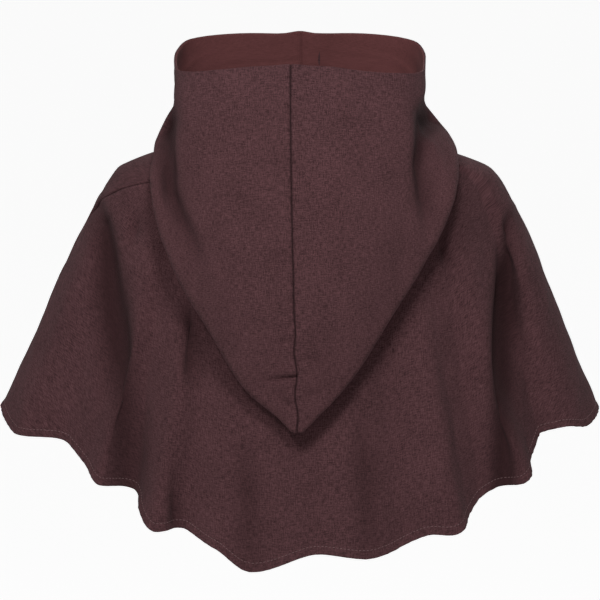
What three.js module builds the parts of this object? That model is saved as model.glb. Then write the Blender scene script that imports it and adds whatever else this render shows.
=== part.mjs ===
// A pull-over hood with a shoulder cape, as it hangs when it is worn down: the cape lies over the
// shoulders, the hood stands round the neck and its pointed bag hangs over the back.
// Millimetres, +Z up. The wearer faces +Y, so the bag hangs towards -Y. The origin is the middle of
// the neck, where the neckline sits on the shoulders.
import * as THREE from 'three';

// Cloth and seams
const cloth = 1.8;
const liningCloth = 1.0;
const seamGap = 0.5;
const liningGap = 0.45;

// Neckline of the cape: reach from the middle, and height
const neckSide = 110;
const neckBack = 80;
const neckFront = 82;
const neckSideHeight = 32;
const neckBackHeight = 26;
const neckFrontHeight = 2;
const neckStand = 6;
const standShare = 0.02;

// Where the cape turns down over the shoulders
const shoulderSide = 214;
const shoulderBack = 130;
const shoulderFront = 142;
const shoulderSideHeight = -8;
const shoulderBackHeight = -85;
const shoulderFrontHeight = -95;

// Hem of the cape
const hemSide = 318;
const hemBack = 200;
const hemFront = 208;
const hemSideHeight = -272;
const hemBackHeight = -398;
const hemFrontHeight = -386;

// Rim of the hood, which is the edge of the face opening
const rimSide = 137;
const rimBack = 98;
const rimFront = 98;
const rimHeight = 128;

// Bag of the hood
const bagLift = 6;
const tipLift = 15;
const rollHollow = 15;
const napeRise = 30;
const napeTurn = 22;
const bagSwell = 30;
const seamTurn = -6;

const materials = {
  cloth: new THREE.MeshStandardMaterial({ color: 0x52383b, roughness: 0.95, metalness: 0 }),
  lining: new THREE.MeshStandardMaterial({ color: 0x4f3030, roughness: 0.85, metalness: 0 }),
};

// Rings of the cape. square rounds the ring's plan off into a box above 2, and crest above 2
// narrows the high part over each shoulder.
const neckRing = {
  side: neckSide, back: neckBack, front: neckFront, square: 2.2, crest: 2.4,
  sideHeight: neckSideHeight, backHeight: neckBackHeight, frontHeight: neckFrontHeight,
};
const shoulderRing = {
  side: shoulderSide, back: shoulderBack, front: shoulderFront, square: 2.6, crest: 2.5,
  sideHeight: shoulderSideHeight, backHeight: shoulderBackHeight, frontHeight: shoulderFrontHeight,
};
const hemRing = {
  side: hemSide, back: hemBack, front: hemFront, square: 2.2, crest: 4,
  sideHeight: hemSideHeight, backHeight: hemBackHeight, frontHeight: hemFrontHeight,
};

// Down the cape: along is the share of the way from neckline to hem. level is 0 at the neckline,
// 1 at the shoulder ring and 2 at the hem, for the reach and for the height.
const capeSections = [
  { along: 0.0, reachLevel: 0.0, heightLevel: 0.0 },
  { along: 0.1, reachLevel: 0.4, heightLevel: 0.27 },
  { along: 0.2, reachLevel: 0.76, heightLevel: 0.62 },
  { along: 0.3, reachLevel: 1.02, heightLevel: 1.0 },
  { along: 0.4, reachLevel: 1.15, heightLevel: 1.15 },
  { along: 0.6, reachLevel: 1.43, heightLevel: 1.43 },
  { along: 0.8, reachLevel: 1.71, heightLevel: 1.72 },
  { along: 1.0, reachLevel: 2.0, heightLevel: 2.0 },
];

// Folds of the cape, from the middle of the front, round by the left, the back and the right.
// turn is degrees from the middle of the back. reach and shoulder are shares of the smooth ring's
// reach at the hem and at the shoulder, and lift is a share of the back's height at the hem.
const capeFolds = [
  { turn: -180, reach: 1.02, lift: -0.01, shoulder: 1.0 },
  { turn: -165, reach: 0.95, lift: 0.01, shoulder: 1.0 },
  { turn: -150, reach: 1.04, lift: -0.01, shoulder: 1.0 },
  { turn: -138, reach: 0.94, lift: 0.02, shoulder: 0.99 },
  { turn: -126, reach: 1.03, lift: 0.0, shoulder: 1.0 },
  { turn: -114, reach: 0.91, lift: 0.01, shoulder: 0.98 },
  { turn: -103, reach: 1.0, lift: 0.0, shoulder: 1.0 },
  { turn: -91, reach: 1.035, lift: 0.02, shoulder: 1.0 },
  { turn: -79, reach: 1.02, lift: -0.005, shoulder: 1.0 },
  { turn: -69.5, reach: 0.905, lift: 0.03, shoulder: 0.99 },
  { turn: -63, reach: 0.92, lift: 0.025, shoulder: 0.97 },
  { turn: -56, reach: 0.985, lift: 0.03, shoulder: 0.97 },
  { turn: -53, reach: 0.88, lift: 0.037, shoulder: 0.97 },
  { turn: -46.5, reach: 0.96, lift: 0.02, shoulder: 0.98 },
  { turn: -40.5, reach: 1.04, lift: 0.01, shoulder: 1.0 },
  { turn: -36, reach: 0.93, lift: 0.03, shoulder: 1.0 },
  { turn: -25, reach: 1.02, lift: 0.012, shoulder: 1.0 },
  { turn: -14, reach: 1.07, lift: -0.037, shoulder: 1.0 },
  { turn: 6, reach: 0.975, lift: 0.005, shoulder: 1.0 },
  { turn: 20.5, reach: 1.04, lift: -0.007, shoulder: 1.0 },
  { turn: 32.5, reach: 0.95, lift: 0.0, shoulder: 1.0 },
  { turn: 37, reach: 1.0, lift: 0.012, shoulder: 1.0 },
  { turn: 43, reach: 1.045, lift: -0.01, shoulder: 1.0 },
  { turn: 50, reach: 0.935, lift: -0.01, shoulder: 0.99 },
  { turn: 55, reach: 0.895, lift: -0.005, shoulder: 0.98 },
  { turn: 57, reach: 0.94, lift: 0.012, shoulder: 0.97 },
  { turn: 60.5, reach: 1.01, lift: 0.0, shoulder: 0.97 },
  { turn: 69.5, reach: 0.905, lift: -0.005, shoulder: 0.98 },
  { turn: 74.5, reach: 0.88, lift: 0.015, shoulder: 0.99 },
  { turn: 76, reach: 0.955, lift: 0.028, shoulder: 1.045 },
  { turn: 82, reach: 1.015, lift: 0.0, shoulder: 1.065 },
  { turn: 92, reach: 1.035, lift: 0.015, shoulder: 1.055 },
  { turn: 104, reach: 0.98, lift: 0.01, shoulder: 1.0 },
  { turn: 115, reach: 0.93, lift: 0.02, shoulder: 0.98 },
  { turn: 127, reach: 1.03, lift: -0.01, shoulder: 1.0 },
  { turn: 139, reach: 0.94, lift: 0.02, shoulder: 0.99 },
  { turn: 152, reach: 1.04, lift: -0.01, shoulder: 1.0 },
  { turn: 166, reach: 0.96, lift: 0.01, shoulder: 1.0 },
  { turn: 180, reach: 1.02, lift: -0.01, shoulder: 1.0 },
];

// The hood round the neck. lap is degrees round the hood's own seams: 0 at the seam at the back
// and 180 at the seam under the chin. foldTurn and foldLevel are where on the cape the bag folds
// back on itself. roll is a share of rollHollow, low and high are shares of bagSwell that the
// outer side stands out at a third and two thirds of its height, and rim is a share of rimHeight.
const hoodLaps = [
  { lap: -180, foldTurn: -180, foldLevel: 0.2, roll: 0.36, low: 0.0, high: 0.0, rim: 1.09 },
  { lap: -150, foldTurn: -142, foldLevel: 0.25, roll: 0.36, low: 0.0, high: 0.0, rim: 1.1 },
  { lap: -120, foldTurn: -112, foldLevel: 0.27, roll: 0.27, low: -0.15, high: 0.0, rim: 1.07 },
  { lap: -105, foldTurn: -98, foldLevel: 0.31, roll: 0.3, low: -0.3, high: 0.0, rim: 1.0 },
  { lap: -90, foldTurn: -84, foldLevel: 0.36, roll: 0.3, low: -0.5, high: -0.2, rim: 0.94 },
  { lap: -78, foldTurn: -71, foldLevel: 0.5, roll: 0.4, low: -0.7, high: -0.3, rim: 0.92 },
  { lap: -66, foldTurn: -59, foldLevel: 0.83, roll: 0.55, low: -0.6, high: -0.2, rim: 0.91 },
  { lap: -52, foldTurn: -46, foldLevel: 1.1, roll: 0.7, low: 0.1, high: 0.3, rim: 0.92 },
  { lap: -38, foldTurn: -33, foldLevel: 1.26, roll: 0.65, low: 0.7, high: 0.6, rim: 0.95 },
  { lap: -24, foldTurn: -20, foldLevel: 1.415, roll: 0.55, low: 0.9, high: 0.8, rim: 0.98 },
  { lap: -12, foldTurn: -9, foldLevel: 1.495, roll: 0.45, low: 1.0, high: 0.9, rim: 0.99 },
  { lap: 0, foldTurn: -1, foldLevel: 1.555, roll: 0.36, low: 1.0, high: 0.9, rim: 1.0 },
  { lap: 12, foldTurn: 8, foldLevel: 1.485, roll: 0.45, low: 1.0, high: 0.9, rim: 0.99 },
  { lap: 24, foldTurn: 20, foldLevel: 1.37, roll: 0.55, low: 0.9, high: 0.8, rim: 0.98 },
  { lap: 38, foldTurn: 33, foldLevel: 1.215, roll: 0.65, low: 0.7, high: 0.6, rim: 0.95 },
  { lap: 52, foldTurn: 46, foldLevel: 1.06, roll: 0.7, low: 0.1, high: 0.3, rim: 0.92 },
  { lap: 66, foldTurn: 59, foldLevel: 0.86, roll: 0.6, low: -0.7, high: -0.2, rim: 0.9 },
  { lap: 78, foldTurn: 71, foldLevel: 0.58, roll: 0.5, low: -0.8, high: -0.3, rim: 0.9 },
  { lap: 90, foldTurn: 83, foldLevel: 0.42, roll: 0.4, low: -0.6, high: -0.3, rim: 0.91 },
  { lap: 105, foldTurn: 97, foldLevel: 0.32, roll: 0.3, low: -0.4, high: -0.2, rim: 0.98 },
  { lap: 120, foldTurn: 112, foldLevel: 0.26, roll: 0.27, low: -0.2, high: 0.0, rim: 1.06 },
  { lap: 150, foldTurn: 142, foldLevel: 0.25, roll: 0.36, low: 0.0, high: 0.0, rim: 1.1 },
  { lap: 180, foldTurn: 180, foldLevel: 0.2, roll: 0.36, low: 0.0, high: 0.0, rim: 1.09 },
];

// Towards the front the fold opens out into one bend of the wall over the first pair of laps, and
// the bend is drawn in to a plain wall over the second pair.
const openedFrom = 80;
const openedTo = 138;
const drawnInFrom = 108;
const drawnInTo = 166;
const rimSquare = 3.6;

// Seams between the cape's back and front, in degrees from the middle of the back
const seamLeft = [
  { along: 0.0, turn: -54 },
  { along: 0.14, turn: -61 },
  { along: 0.22, turn: -67.5 },
  { along: 0.27, turn: -76 },
  { along: 0.33, turn: -86 },
  { along: 0.45, turn: -91 },
  { along: 1.0, turn: -92 },
];
const seamRight = [
  { along: 0.0, turn: 100 },
  { along: 0.28, turn: 96 },
  { along: 0.45, turn: 92 },
  { along: 1.0, turn: 92 },
];

const radians = Math.PI / 180;
const mix = (a, b, share) => a + (b - a) * share;
const spread = (from, to, steps) => Array.from({ length: steps + 1 }, (_, i) => mix(from, to, i / steps));

// A smooth curve through one column of a table, which doesn't overshoot between its rows.
function column(rows, key, name) {
  const xs = rows.map((row) => row[key]);
  const ys = rows.map((row) => row[name]);
  const rise = xs.slice(1).map((x, i) => (ys[i + 1] - ys[i]) / (x - xs[i]));
  const slope = xs.map((_, i) => {
    const before = rise[i - 1] ?? 0;
    const after = rise[i] ?? 0;
    return before * after > 0 ? (2 * before * after) / (before + after) : 0;
  });
  return (x) => {
    let i = xs.findIndex((known) => known > x) - 1;
    if (i === -2) i = xs.length - 2;
    i = Math.max(0, i);
    const width = xs[i + 1] - xs[i];
    const t = (x - xs[i]) / width;
    if (t <= 0) return ys[i];
    if (t >= 1) return ys[i + 1];
    const a = 2 * t ** 3 - 3 * t ** 2 + 1;
    const b = t ** 3 - 2 * t ** 2 + t;
    const c = 3 * t ** 2 - 2 * t ** 3;
    const d = t ** 3 - t ** 2;
    return a * ys[i] + b * width * slope[i] + c * ys[i + 1] + d * width * slope[i + 1];
  };
}

// The reach of a ring at a turn from the middle of the back, and its height there.
function ringReach({ side, back, front, square }, turn) {
  const across = Math.abs(Math.sin(turn * radians)) / side;
  const deep = Math.abs(Math.cos(turn * radians)) / (Math.cos(turn * radians) > 0 ? back : front);
  return (across ** square + deep ** square) ** (-1 / square);
}
function ringHeight({ sideHeight, backHeight, frontHeight, crest }, turn) {
  const middle = Math.cos(turn * radians) > 0 ? backHeight : frontHeight;
  return mix(middle, sideHeight, Math.abs(Math.sin(turn * radians)) ** crest);
}

// A value that is a at level 0, b at level 1 and c at level 2, rounded off round level 1.
const shoulderRound = 0.3;
function throughLevels(a, b, c, level) {
  const off = level - 1;
  if (Math.abs(off) >= shoulderRound) return off < 0 ? b + (b - a) * off : b + (c - b) * off;
  const bend = (c - b - (b - a)) / (4 * shoulderRound);
  return b + ((c - a) / 2) * off + bend * (off ** 2 + shoulderRound ** 2);
}

const atTurn = (turn, reach, height) => new THREE.Vector3(
  reach * Math.sin(turn * radians),
  -reach * Math.cos(turn * radians),
  height,
);

const reachLevel = column(capeSections, 'along', 'reachLevel');
const heightLevel = column(capeSections, 'along', 'heightLevel');

// A point of the cape, along the way from its neckline at 0 to its hem at 1, with the share of the
// smooth reach that its folds leave at the hem and the shoulder. Below 0 it stands up at the neck,
// by neckStand at -standShare.
function capePoint(turn, along, fold = { reach: 1, shoulder: 1, lift: 0 }) {
  const down = Math.max(0, along);
  const reach = throughLevels(
    ringReach(neckRing, turn),
    ringReach(shoulderRing, turn) * fold.shoulder,
    ringReach(hemRing, turn) * fold.reach,
    reachLevel(down),
  );
  const height = throughLevels(
    ringHeight(neckRing, turn),
    ringHeight(shoulderRing, turn),
    ringHeight(hemRing, turn) - fold.lift * hemBackHeight,
    heightLevel(down),
  );
  const stand = (Math.max(0, -along) / standShare) * neckStand;
  return atTurn(turn, reach, height + stand);
}

// The folds again by the way along the hem, which crowds the columns of the grid where it bends.
let walked = 0;
const hemWay = capeFolds.map((fold, i) => {
  const here = capePoint(fold.turn, 1, fold);
  if (i) walked += here.distanceTo(capePoint(capeFolds[i - 1].turn, 1, capeFolds[i - 1]));
  return { ...fold, way: walked };
});
const foldAt = {
  turn: column(hemWay, 'way', 'turn'),
  reach: column(hemWay, 'way', 'reach'),
  lift: column(hemWay, 'way', 'lift'),
  shoulder: column(hemWay, 'way', 'shoulder'),
};
const wayAtTurn = column(hemWay, 'turn', 'way');
const foldOf = (way) => ({
  reach: foldAt.reach(way), lift: foldAt.lift(way), shoulder: foldAt.shoulder(way),
});

// The normal of a surface that is a function of two numbers, worked out from nearby points.
function normalOf(surface, u, v, stepU, stepV) {
  const acrossU = surface(u + stepU, v).sub(surface(u - stepU, v));
  const acrossV = surface(u, v + stepV).sub(surface(u, v - stepV));
  return acrossU.cross(acrossV).normalize();
}

// A wall of cloth on a grid of u by v, as thick as thickness, moved off its surface by offset.
function clothWall(surface, us, vs, stepU, stepV, thickness, offset = 0) {
  const positions = [];
  for (const face of [0.5, -0.5]) {
    us.forEach((u) => vs.forEach((v) => {
      const normal = normalOf(surface, u, v, stepU, stepV);
      surface(u, v).addScaledVector(normal, offset + face * thickness).toArray(positions, positions.length);
    }));
  }
  const rows = vs.length;
  const other = us.length * rows;
  const index = [];
  const quad = (a, b, c, d) => index.push(a, b, c, a, c, d);
  for (let i = 0; i < us.length - 1; i += 1) {
    for (let j = 0; j < rows - 1; j += 1) {
      const a = i * rows + j;
      quad(a, a + rows, a + rows + 1, a + 1);
      quad(other + a, other + a + 1, other + a + rows + 1, other + a + rows);
    }
    const low = i * rows;
    const high = low + rows - 1;
    quad(low, other + low, other + low + rows, low + rows);
    quad(high, high + rows, other + high + rows, other + high);
  }
  for (let j = 0; j < rows - 1; j += 1) {
    const last = (us.length - 1) * rows + j;
    quad(j, j + 1, other + j + 1, other + j);
    quad(last, other + last, other + last + 1, last + 1);
  }
  const geometry = new THREE.BufferGeometry();
  geometry.setAttribute('position', new THREE.Float32BufferAttribute(positions, 3));
  geometry.setIndex(index);
  return geometry;
}

// One panel of the cape between two seams. u is the share of the way from one seam to the other.
const capeAlongs = [
  -standShare, 0, 0.05, 0.1, 0.15, 0.19, 0.225, 0.26, 0.295, 0.33, 0.37, 0.43, 0.53, 0.65, 0.77, 0.89, 1,
];
const capeAt = (way, along) => capePoint(foldAt.turn(way), along, foldOf(way));
function capePanel(name, fromTurn, toTurn, columns) {
  const edge = (turnAt, along, side) => {
    const seamWay = (at) => wayAtTurn(turnAt(Math.max(0, at)));
    const seamPoint = (at) => capeAt(seamWay(at), at);
    const way = seamWay(along);
    const near = Math.min(0.98, Math.max(0.02, along));
    const down = seamPoint(near + 0.02).sub(seamPoint(near - 0.02));
    const perWay = capeAt(way + 1, along).sub(capeAt(way - 1, along)).cross(down.normalize()).length() / 2;
    return way + (side * seamGap) / 2 / perWay;
  };
  const panel = (u, along) => {
    const from = edge(fromTurn, along, 1);
    const to = edge(toTurn, along, -1);
    return capeAt(mix(from, to < from ? to + walked : to, u) % walked, along);
  };
  const us = spread(0, 1, columns);
  const mesh = new THREE.Mesh(clothWall(panel, us, capeAlongs, 1e-3, 1e-3, cloth), materials.cloth);
  mesh.name = name;
  return mesh;
}

// The lining lies inside the hood's wall, by this much from the middle of the wall to its own
// middle and to its inner side.
const liningOffset = -(cloth / 2 + liningGap + liningCloth / 2);
const liningInside = cloth / 2 + liningGap + liningCloth;

// How the hood turns over at the nape and where its underlayer lies, by levels of the cape
const napeRiseLeast = 10;
const riseShare = 0.25;
const turnShare = 0.45;
const underFrom = 0.1;
const underArch = 0.25;
const tipLiftFrom = 0.6;
const tipLiftTo = 1.5;
const rollReach = 1.2;

// The rim of the hood.
const rimRing = { side: rimSide, back: rimBack, front: rimFront, square: rimSquare };
const hoodAt = Object.fromEntries(
  ['foldTurn', 'foldLevel', 'roll', 'low', 'high', 'rim']
    .map((name) => [name, column(hoodLaps, 'lap', name)]),
);

// A point at a height off the smooth cape, for what lies on it.
const alongAtLevel = column(capeSections, 'reachLevel', 'along');
function offCape(turn, level, off) {
  const along = alongAtLevel(level);
  const surface = (u, v) => capePoint(u, v);
  const normal = normalOf(surface, turn, Math.max(0.01, along), 0.5, -0.005);
  return capePoint(turn, along).addScaledVector(normal, off);
}

// The points that steer one line of the hood, from the neckline up over the nape, down the cape,
// round the bag's fold and up the outer side to the rim. A short fold rises and turns less.
function hoodSteering(lap) {
  const towardsSeam = (1 + Math.cos(lap * radians)) / 2;
  const turn = lap + seamTurn * towardsSeam;
  const foldTurn = hoodAt.foldTurn(lap);
  const foldLevel = hoodAt.foldLevel(lap);
  const roll = hoodAt.roll(lap) * rollHollow + liningInside;
  const foot = capePoint(turn, -standShare).add(new THREE.Vector3(0, 0, seamGap));
  const rim = atTurn(turn, ringReach(rimRing, turn), hoodAt.rim(lap) * rimHeight);
  const lift = (level) => {
    const share = Math.max(0, level - tipLiftFrom) / (tipLiftTo - tipLiftFrom);
    return cloth + mix(bagLift, tipLift, share);
  };
  const under = (share, arch = 0) => {
    const level = mix(underFrom, foldLevel, share);
    return offCape(mix(turn, foldTurn, share), level, lift(level) + arch);
  };
  const fold = under(1);
  const reachOut = Math.hypot(fold.x - foot.x, fold.y - foot.y);
  const turnOut = Math.min(napeTurn, turnShare * reachOut);
  const rise = Math.min(napeRise, napeRiseLeast + riseShare * reachOut);
  const nape = (up, out) => foot.clone()
    .add(new THREE.Vector3(0, 0, rise * up))
    .add(atTurn(turn, turnOut * out, 0));
  const onward = fold.clone().sub(under(0.85)).normalize();
  const above = offCape(foldTurn, foldLevel, lift(foldLevel) + 2 * roll);
  const round = (share) => fold.clone().lerp(above, share).addScaledVector(onward, rollReach * roll);
  const swell = (share, amount) => {
    const point = above.clone().lerp(rim, share);
    const out = new THREE.Vector3(point.x, point.y, 0).normalize();
    return point.addScaledVector(out, amount * bagSwell);
  };
  const folded = [
    foot,
    nape(0.5, 0),
    nape(1, 0.1),
    nape(1, 1),
    under(0.5, underArch * rise),
    under(0.78),
    fold,
    round(0.3),
    round(0.7),
    above,
    swell(1 / 3, hoodAt.low(lap)),
    swell(2 / 3, hoodAt.high(lap)),
    swell(0.88, hoodAt.high(lap) * 0.4),
    rim,
  ];
  const opened = THREE.MathUtils.smoothstep(Math.abs(lap), openedFrom, openedTo);
  const drawnIn = THREE.MathUtils.smoothstep(Math.abs(lap), drawnInFrom, drawnInTo);
  const last = folded.length - 1;
  const bend = folded.indexOf(fold);
  return folded.map((point, i) => {
    const plain = foot.clone().lerp(rim, i / last);
    const bent = i < bend
      ? foot.clone().lerp(fold, i / bend)
      : fold.clone().lerp(rim, (i - bend) / (last - bend));
    return point.clone().lerp(bent.setZ(plain.z), opened).lerp(plain, drawnIn);
  });
}

// A point of the hood: t runs from 0 at the neckline to 1 at the rim, on a cubic B-spline.
function hoodPoint(lap, t) {
  const points = hoodSteering(lap);
  const last = points.length - 1;
  const padded = [points[0].clone().multiplyScalar(2).sub(points[1]), ...points,
    points[last].clone().multiplyScalar(2).sub(points[last - 1])];
  const at = t * last;
  const i = Math.min(last - 1, Math.max(0, Math.floor(at)));
  const f = at - i;
  const weights = [
    (1 - f) ** 3 / 6,
    (3 * f ** 3 - 6 * f ** 2 + 4) / 6,
    (-3 * f ** 3 + 3 * f ** 2 + 3 * f + 1) / 6,
    f ** 3 / 6,
  ];
  const point = new THREE.Vector3();
  weights.forEach((weight, k) => point.addScaledVector(padded[i + k], weight));
  return point;
}

// Laps of the grid's columns on either side of the back seam, crowded where the fold opens out
const hoodLines = [0, 10, 21, 32, 43, 54, 64, 73, 81, 88, 94.5, 100, 105, 110, 115, 121, 130, 150, 180];
const hoodRows = [
  0, 0.06, 0.12, 0.165, 0.2, 0.23, 0.26, 0.295, 0.33, 0.38, 0.43, 0.475, 0.515, 0.55, 0.58, 0.61,
  0.65, 0.7, 0.77, 0.85, 0.93, 1,
];

function hoodHalf(name, side, thickness, offset, material) {
  const inset = (lap, t) => seamGap / 2 / hoodPoint(lap + 0.5, t).distanceTo(hoodPoint(lap - 0.5, t));
  const half = (lap, t) => {
    const share = (side * lap) / 180;
    return hoodPoint(side * mix(inset(0, t), 180 - inset(180, t), share), t);
  };
  const laps = hoodLines.map((lap) => side * lap).sort((a, b) => a - b);
  const mesh = new THREE.Mesh(clothWall(half, laps, hoodRows, 0.2, 1e-3, thickness, offset), material);
  mesh.name = name;
  return mesh;
}

const hood = new THREE.Group();
hood.add(
  capePanel('cape_back', column(seamLeft, 'along', 'turn'), column(seamRight, 'along', 'turn'), 44),
  capePanel('cape_front', column(seamRight, 'along', 'turn'), column(seamLeft, 'along', 'turn'), 32),
  hoodHalf('hood_left', -1, cloth, 0, materials.cloth),
  hoodHalf('hood_right', 1, cloth, 0, materials.cloth),
  hoodHalf('lining_left', -1, liningCloth, liningOffset, materials.lining),
  hoodHalf('lining_right', 1, liningCloth, liningOffset, materials.lining),
);

export default hood;
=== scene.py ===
# A pull-over hood with a shoulder cape, worn down, in woven cloth with a smooth lining.
# Metres, in the frame of the solids: +Z up, the wearer faces +Y and the bag hangs towards -Y.
import math

import bpy
import numpy as np
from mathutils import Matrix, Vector


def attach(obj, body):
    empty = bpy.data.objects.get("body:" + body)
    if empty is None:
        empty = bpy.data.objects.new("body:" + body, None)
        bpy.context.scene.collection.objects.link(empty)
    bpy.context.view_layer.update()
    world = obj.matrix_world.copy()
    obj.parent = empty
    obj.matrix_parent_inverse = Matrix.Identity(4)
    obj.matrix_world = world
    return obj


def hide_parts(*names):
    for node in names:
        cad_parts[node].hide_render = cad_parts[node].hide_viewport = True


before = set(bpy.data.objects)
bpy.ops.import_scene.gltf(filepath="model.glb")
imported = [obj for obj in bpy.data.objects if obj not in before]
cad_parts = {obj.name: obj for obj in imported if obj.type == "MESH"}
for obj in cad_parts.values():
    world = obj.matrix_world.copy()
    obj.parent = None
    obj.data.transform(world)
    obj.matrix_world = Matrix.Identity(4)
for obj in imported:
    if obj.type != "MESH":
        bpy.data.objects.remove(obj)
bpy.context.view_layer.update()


# Sizes of the cloth and its seams

CLOTH = 0.0018
LINING_CLOTH = 0.0010
LINING_GAP = 0.00045
LINING_OFFSET = -(CLOTH / 2 + LINING_GAP + LINING_CLOTH / 2)
LINING_INSIDE = CLOTH / 2 + LINING_GAP + LINING_CLOTH
SEAM_GAP = 0.0005
HEM_TURN = 0.009
STITCH_LENGTH = 0.0029
STITCH_PITCH = 0.0042
STITCH_RADIUS = 0.00034
STITCH_END = 0.12
STITCH_RISE = 0.3
EDGE_ROUND = 0.2

# Rings of the cape, as in the solids: neckline, shoulder and hem

NECK = dict(
    side=0.110, back=0.080, front=0.082, square=2.2,
    high=0.032, low_back=0.026, low_front=0.002, crest=2.4,
)
SHOULDER = dict(
    side=0.214, back=0.130, front=0.142, square=2.6,
    high=-0.008, low_back=-0.085, low_front=-0.095, crest=2.5,
)
HEM = dict(
    side=0.318, back=0.200, front=0.208, square=2.2,
    high=-0.272, low_back=-0.398, low_front=-0.386, crest=4,
)
RIM = dict(side=0.137, back=0.098, front=0.098, square=3.6)
RIM_HEIGHT = 0.128
NECK_STAND = 0.006
STAND_SHARE = 0.02
SHOULDER_ROUND = 0.3

# Bag of the hood, as in the solids, but with its tip lying 5 mm closer to the cape

BAG_LIFT = 0.006
TIP_LIFT = 0.010
TIP_LIFT_FROM = 0.6
TIP_LIFT_TO = 1.5
ROLL_HOLLOW = 0.015
ROLL_REACH = 1.2
NAPE_RISE = 0.030
NAPE_RISE_LEAST = 0.010
RISE_SHARE = 0.25
NAPE_TURN = 0.022
TURN_SHARE = 0.45
UNDER_FROM = 0.1
UNDER_ARCH = 0.25
BAG_SWELL = 0.030
SEAM_TURN = -6
OPENED_FROM, OPENED_TO = 80, 138
DRAWN_IN_FROM, DRAWN_IN_TO = 108, 166


def table(names, rows):
    return {name: np.array(values, float) for name, values in zip(names.split(), zip(*rows))}


# Down the cape: level 0 is the neckline, 1 the shoulder ring and 2 the hem

CAPE_SECTIONS = table("along reach height", [
    (0.0, 0.0, 0.0),
    (0.1, 0.4, 0.27),
    (0.2, 0.76, 0.62),
    (0.3, 1.02, 1.0),
    (0.4, 1.15, 1.15),
    (0.6, 1.43, 1.43),
    (0.8, 1.71, 1.72),
    (1.0, 2.0, 2.0),
])

# Folds of the cape, in degrees from the middle of the back, as shares of the smooth rings

CAPE_FOLDS = table("turn reach lift shoulder", [
    (-180, 1.02, -0.01, 1.0),
    (-165, 0.95, 0.01, 1.0),
    (-150, 1.04, -0.01, 1.0),
    (-138, 0.94, 0.02, 0.99),
    (-126, 1.03, 0.0, 1.0),
    (-114, 0.91, 0.01, 0.98),
    (-103, 1.0, 0.0, 1.0),
    (-91, 1.035, 0.02, 1.0),
    (-79, 1.02, -0.005, 1.0),
    (-69.5, 0.905, 0.03, 0.99),
    (-63, 0.92, 0.025, 0.97),
    (-56, 0.985, 0.03, 0.97),
    (-53, 0.88, 0.037, 0.97),
    (-46.5, 0.96, 0.02, 0.98),
    (-40.5, 1.04, 0.01, 1.0),
    (-36, 0.93, 0.03, 1.0),
    (-25, 1.02, 0.012, 1.0),
    (-14, 1.07, -0.037, 1.0),
    (6, 0.975, 0.005, 1.0),
    (20.5, 1.04, -0.007, 1.0),
    (32.5, 0.95, 0.0, 1.0),
    (37, 1.0, 0.012, 1.0),
    (43, 1.045, -0.01, 1.0),
    (50, 0.935, -0.01, 0.99),
    (55, 0.895, -0.005, 0.98),
    (57, 0.94, 0.012, 0.97),
    (60.5, 1.01, 0.0, 0.97),
    (69.5, 0.905, -0.005, 0.98),
    (74.5, 0.88, 0.015, 0.99),
    (76, 0.955, 0.028, 1.045),
    (82, 1.015, 0.0, 1.065),
    (92, 1.035, 0.015, 1.055),
    (104, 0.98, 0.01, 1.0),
    (115, 0.93, 0.02, 0.98),
    (127, 1.03, -0.01, 1.0),
    (139, 0.94, 0.02, 0.99),
    (152, 1.04, -0.01, 1.0),
    (166, 0.96, 0.01, 1.0),
    (180, 1.02, -0.01, 1.0),
])

# The hood by laps round its own seams: where the bag folds on the cape, how round the fold is, how
# far the outer side swells at a third and two thirds of its height, and the rim's height. The fold is
# a little flatter at the tip than in the solids.

HOOD_LAPS = table("lap fold_turn fold_level roll low high rim", [
    (-180, -180, 0.2, 0.36, 0.0, 0.0, 1.09),
    (-150, -142, 0.25, 0.36, 0.0, 0.0, 1.1),
    (-120, -112, 0.27, 0.27, -0.15, 0.0, 1.07),
    (-105, -98, 0.31, 0.3, -0.3, 0.0, 1.0),
    (-90, -84, 0.36, 0.3, -0.5, -0.2, 0.94),
    (-78, -71, 0.5, 0.4, -0.7, -0.3, 0.92),
    (-66, -59, 0.83, 0.55, -0.6, -0.2, 0.91),
    (-52, -46, 1.1, 0.7, 0.1, 0.3, 0.92),
    (-38, -33, 1.26, 0.65, 0.7, 0.6, 0.95),
    (-24, -20, 1.415, 0.5, 0.9, 0.8, 0.98),
    (-12, -9, 1.495, 0.33, 1.0, 0.9, 0.99),
    (0, -1, 1.555, 0.22, 1.0, 0.9, 1.0),
    (12, 8, 1.485, 0.33, 1.0, 0.9, 0.99),
    (24, 20, 1.37, 0.5, 0.9, 0.8, 0.98),
    (38, 33, 1.215, 0.65, 0.7, 0.6, 0.95),
    (52, 46, 1.06, 0.7, 0.1, 0.3, 0.92),
    (66, 59, 0.86, 0.6, -0.7, -0.2, 0.9),
    (78, 71, 0.58, 0.5, -0.8, -0.3, 0.9),
    (90, 83, 0.42, 0.4, -0.6, -0.3, 0.91),
    (105, 97, 0.32, 0.3, -0.4, -0.2, 0.98),
    (120, 112, 0.26, 0.27, -0.2, 0.0, 1.06),
    (150, 142, 0.25, 0.36, 0.0, 0.0, 1.1),
    (180, 180, 0.2, 0.36, 0.0, 0.0, 1.09),
])

# Seams between the cape's back and front, in degrees from the middle of the back

SEAM_LEFT = table("along turn", [
    (0.0, -54), (0.14, -61), (0.22, -67.5), (0.27, -76), (0.33, -86), (0.45, -91), (1.0, -92),
])
SEAM_RIGHT = table("along turn", [(0.0, 100), (0.28, 96), (0.45, 92), (1.0, 92)])

# Creases that show from behind. Each is a line of places across and up the photo's view, with its
# depth and half width at each place.

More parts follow.
